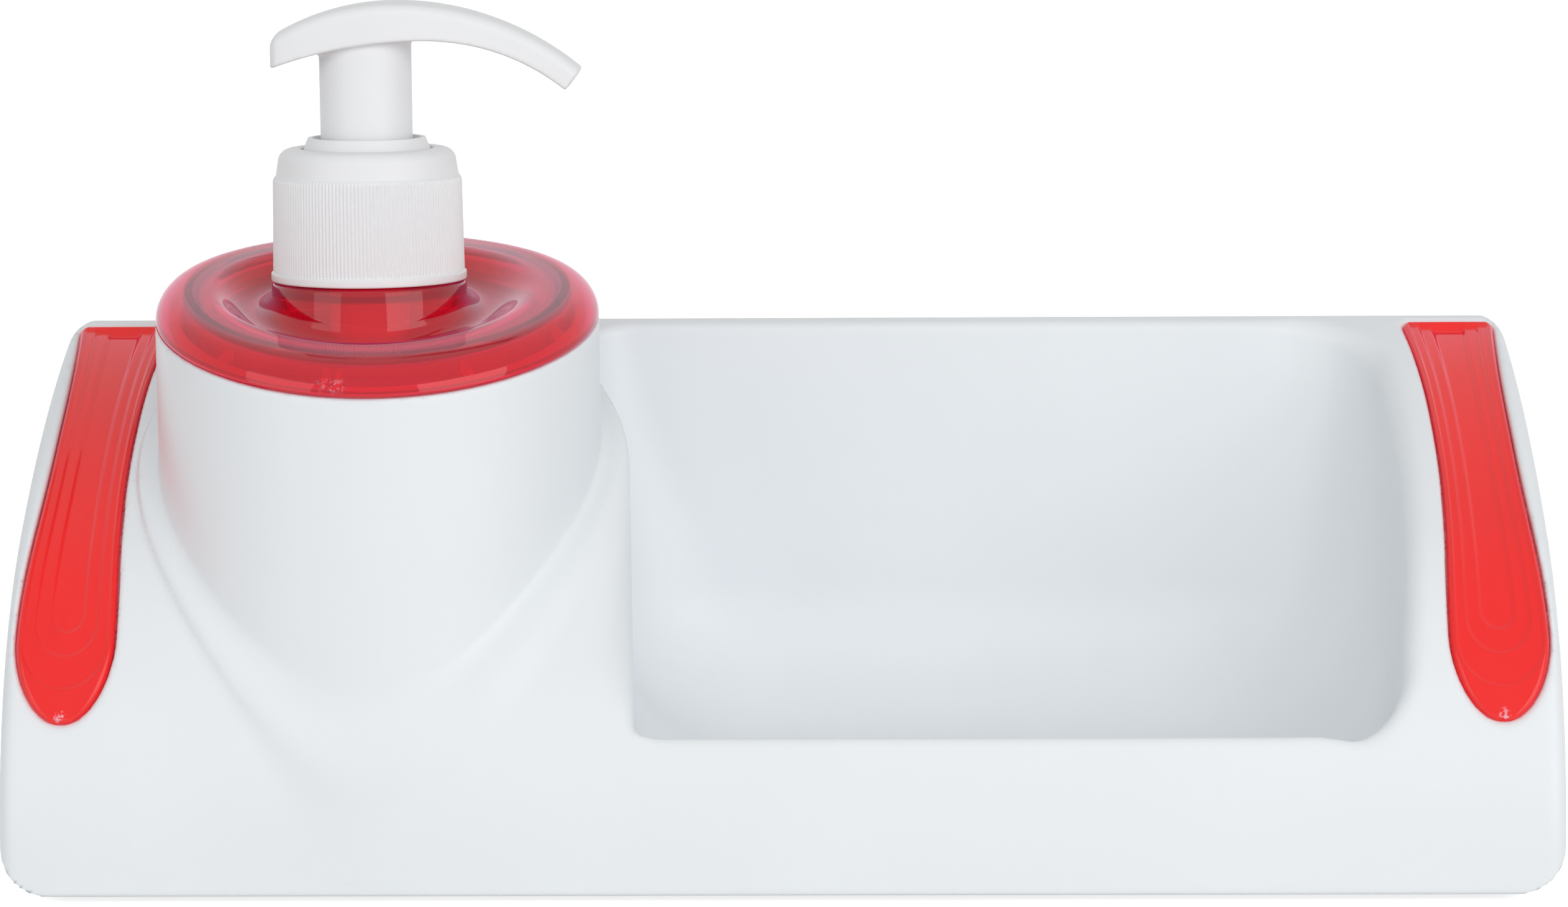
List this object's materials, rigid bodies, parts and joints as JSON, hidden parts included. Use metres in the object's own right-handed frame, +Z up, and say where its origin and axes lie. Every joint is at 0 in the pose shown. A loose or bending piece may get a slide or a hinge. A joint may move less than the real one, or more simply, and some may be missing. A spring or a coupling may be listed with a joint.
{
  "type": "soap_pump_caddy",
  "caption": "Sink-side caddy with a sloping curved front, a scooped sponge tray and a round soap tower under a slanted translucent lid with a screw-on lotion pump",
  "frame": {"origin": "bottom centre, on the surface that the feet stand on", "axes": "+X right along the width, +Y to the back, +Z up"},
  "size_m": [0.261, 0.086, 0.1479],
  "materials": {
    "shell_white": "smooth gloss",
    "pump_white": "satin gloss",
    "clear_red": "clear tinted gloss",
    "tank_plastic": "plain",
    "tube_plastic": "frosted",
    "foot_rubber": "matt",
    "seal_rubber": "matt",
    "ball_steel": "polished"
  },
  "bodies": {
    "caddy": {"caddy_shell": "shell_white", "base_plate": "shell_white", "insert_left": "clear_red", "insert_right": "clear_red", "foot_front_left": "foot_rubber", "foot_front_right": "foot_rubber", "foot_back_left": "foot_rubber", "foot_back_right": "foot_rubber", "soap_tank": "tank_plastic"},
    "lid": {"tank_lid": "clear_red", "lid_seal": "seal_rubber"},
    "pump_core": {"pump_housing": "pump_white", "chaplet": "pump_white", "dip_tube": "tube_plastic", "neck_gasket": "seal_rubber", "return_spring": "ball_steel"},
    "collar": {"closure_collar": "pump_white"},
    "plunger": {"piston_rod": "pump_white", "piston_seal": "seal_rubber"},
    "head": {"actuator_head": "pump_white"},
    "ball": {"inlet_ball": "ball_steel"}
  },
  "joints": [
    {"name": "lid_lift", "type": "slide", "parent": "caddy", "child": "lid", "axis": [0, 0, 1], "range_m": [0, 0.03]},
    {"name": "pump_rise", "type": "slide", "parent": "lid", "child": "pump_core", "axis": [0, 0, 1], "range_m": [0, 0.00528]},
    {"name": "collar_turn", "type": "hinge", "parent": "pump_core", "child": "collar", "pos_m": [-0.0712, -0.001, 0.111], "axis": [0, 0, 1], "range_deg": [0, 450]},
    {"name": "head_press", "type": "slide", "parent": "pump_core", "child": "plunger", "axis": [0, 0, 1], "range_m": [-0.013, 0], "stiffness_N_per_m": 400, "springref_m": 0.005, "deforming": ["return_spring"]},
    {"name": "head_swivel", "type": "hinge", "parent": "plunger", "child": "head", "pos_m": [-0.0712, -0.001, 0.13], "axis": [0, 0, 1], "continuous": true},
    {"name": "ball_lift", "type": "slide", "parent": "pump_core", "child": "ball", "axis": [0, 0, 1], "range_m": [0, 0.0014]}
  ],
  "couplings": [
    {"joint": "collar_turn", "follows": "pump_rise", "rad_per_m": 1485.9}
  ]
}
